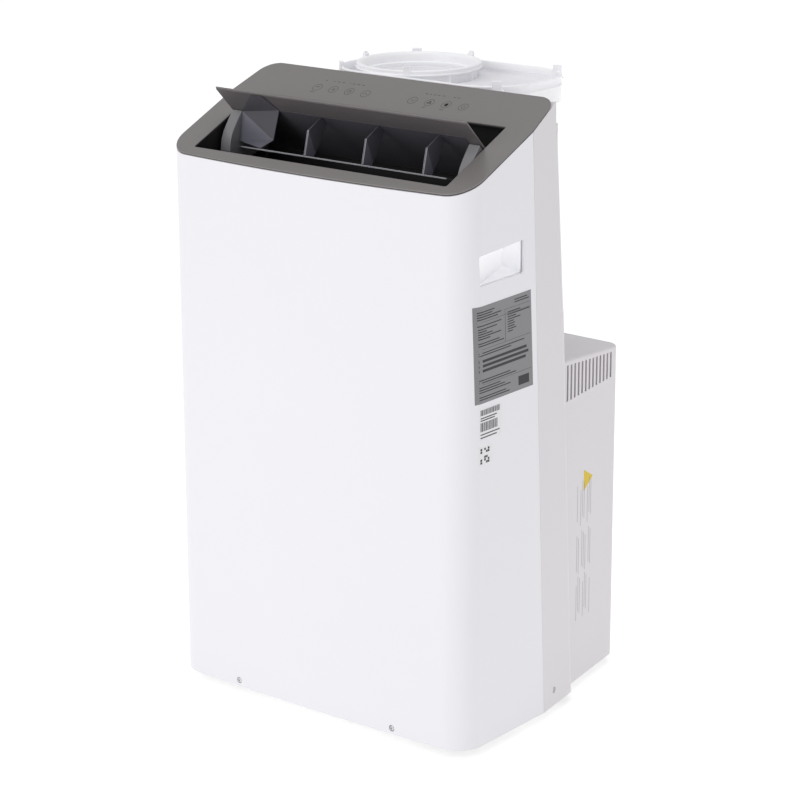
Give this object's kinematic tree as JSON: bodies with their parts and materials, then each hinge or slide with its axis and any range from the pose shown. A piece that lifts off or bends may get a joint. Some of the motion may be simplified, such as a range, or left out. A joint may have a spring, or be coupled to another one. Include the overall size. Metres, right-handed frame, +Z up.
{
  "type": "portable air conditioner",
  "caption": "Floor-standing portable air conditioner with a swinging top louvre, dual-hose collar, blowers, coils, compressor and swivel casters.",
  "frame": {"origin": "on the floor, under the middle of the unit's bounding box", "axes": "+Z up, front face towards -Y, +X to the right as seen from the front"},
  "size_m": [0.489, 0.43, 0.835],
  "materials": {
    "casing": "gloss white",
    "bezel": "satin warm grey, brushed look",
    "louvre": "satin grey",
    "louvre_inner": "satin dark grey",
    "duct": "matt black",
    "collar": "satin white",
    "pan": "plain moulded",
    "steel": "zinc plated",
    "coil": "finned",
    "copper": "drawn copper tube",
    "enamel": "black enamel",
    "nylon": "black nylon",
    "tread": "dark tread",
    "filter": "fine mesh",
    "board": "solder mask"
  },
  "bodies": {
    "root": {"front_casing": "casing", "rear_casing": "casing", "condenser_housing": "casing", "riser_housing": "casing", "handle_cup_left": "casing", "handle_cup_right": "casing", "top_bezel": "bezel", "hose_collar": "collar", "exhaust_ring": "collar", "intake_grille": "collar", "exhaust_riser": "collar", "float_switch": "collar", "outlet_duct": "duct", "louvre_motor": "steel", "evaporator_scroll": "pan", "condenser_scroll": "pan", "drain_pan": "pan", "base_pan": "pan", "evaporator_motor": "steel", "condenser_motor": "steel", "slinger_motor": "steel", "control_box": "steel", "display_board": "board", "evaporator_coil": "coil", "condenser_coil": "coil", "compressor": "enamel", "accumulator": "enamel", "discharge_pipe": "copper", "suction_pipe": "copper", "liquid_line": "copper", "cord_gland": "nylon", "screw_front_left": "steel", "screw_front_right": "steel", "screw_side_left": "steel", "screw_side_right": "steel"},
    "louvre": {"louvre_flap": "louvre", "louvre_cheek_left": "louvre", "louvre_cheek_right": "louvre", "louvre_blade": "louvre_inner", "louvre_vane_1": "louvre_inner", "louvre_vane_2": "louvre_inner", "louvre_vane_3": "louvre_inner", "louvre_deflector": "louvre_inner"},
    "evaporator_fan": {"evaporator_wheel": "nylon"},
    "condenser_fan": {"condenser_wheel": "nylon"},
    "slinger": {"slinger_wheel": "nylon"},
    "cover_left": {"filter_cover_left": "casing", "air_filter_left": "filter"},
    "cover_right": {"filter_cover_right": "casing", "air_filter_right": "filter"},
    "drain_plug": {"drain_cap": "nylon"},
    "fork_front_left": {"caster_fork_front_left": "nylon"},
    "fork_front_right": {"caster_fork_front_right": "nylon"},
    "fork_rear_left": {"caster_fork_rear_left": "nylon"},
    "fork_rear_right": {"caster_fork_rear_right": "nylon"},
    "wheel_front_left": {"caster_wheel_front_left": "tread"},
    "wheel_front_right": {"caster_wheel_front_right": "tread"},
    "wheel_rear_left": {"caster_wheel_rear_left": "tread"},
    "wheel_rear_right": {"caster_wheel_rear_right": "tread"}
  },
  "joints": [
    {"name": "louvre_swing", "type": "hinge", "parent": "root", "child": "louvre", "pos_m": [0, -0.1225, 0.7437], "axis": [1, 0, 0], "range_deg": [0, 69.3]},
    {"name": "evaporator_fan_spin", "type": "hinge", "parent": "root", "child": "evaporator_fan", "pos_m": [0, -0.125, 0.518], "axis": [0, 1, 0], "continuous": true},
    {"name": "condenser_fan_spin", "type": "hinge", "parent": "root", "child": "condenser_fan", "pos_m": [0.012, 0.08675, 0.203], "axis": [0, 1, 0], "continuous": true},
    {"name": "slinger_spin", "type": "hinge", "parent": "root", "child": "slinger", "pos_m": [0.125, 0.1285, 0.099], "axis": [0, 1, 0], "continuous": true},
    {"name": "cover_left_pull", "type": "slide", "parent": "root", "child": "cover_left", "axis": [0, 1, 0], "range_m": [0, 0.06]},
    {"name": "cover_right_pull", "type": "slide", "parent": "root", "child": "cover_right", "axis": [0, 1, 0], "range_m": [0, 0.06]},
    {"name": "drain_cap_pull", "type": "slide", "parent": "root", "child": "drain_plug", "axis": [0, 1, 0], "range_m": [0, 0.03]},
    {"name": "swivel_front_left", "type": "hinge", "parent": "root", "child": "fork_front_left", "pos_m": [-0.172, -0.145, 0.045], "axis": [0, 0, 1], "continuous": true},
    {"name": "swivel_front_right", "type": "hinge", "parent": "root", "child": "fork_front_right", "pos_m": [0.172, -0.145, 0.045], "axis": [0, 0, 1], "continuous": true},
    {"name": "swivel_rear_left", "type": "hinge", "parent": "root", "child": "fork_rear_left", "pos_m": [-0.13, 0.12, 0.045], "axis": [0, 0, 1], "continuous": true},
    {"name": "swivel_rear_right", "type": "hinge", "parent": "root", "child": "fork_rear_right", "pos_m": [0.13, 0.12, 0.045], "axis": [0, 0, 1], "continuous": true},
    {"name": "roll_front_left", "type": "hinge", "parent": "fork_front_left", "child": "wheel_front_left", "pos_m": [-0.172, -0.132, 0.01884], "axis": [1, 0, 0], "continuous": true},
    {"name": "roll_front_right", "type": "hinge", "parent": "fork_front_right", "child": "wheel_front_right", "pos_m": [0.172, -0.132, 0.01884], "axis": [1, 0, 0], "continuous": true},
    {"name": "roll_rear_left", "type": "hinge", "parent": "fork_rear_left", "child": "wheel_rear_left", "pos_m": [-0.13, 0.133, 0.01884], "axis": [1, 0, 0], "continuous": true},
    {"name": "roll_rear_right", "type": "hinge", "parent": "fork_rear_right", "child": "wheel_rear_right", "pos_m": [0.13, 0.133, 0.01884], "axis": [1, 0, 0], "continuous": true}
  ]
}
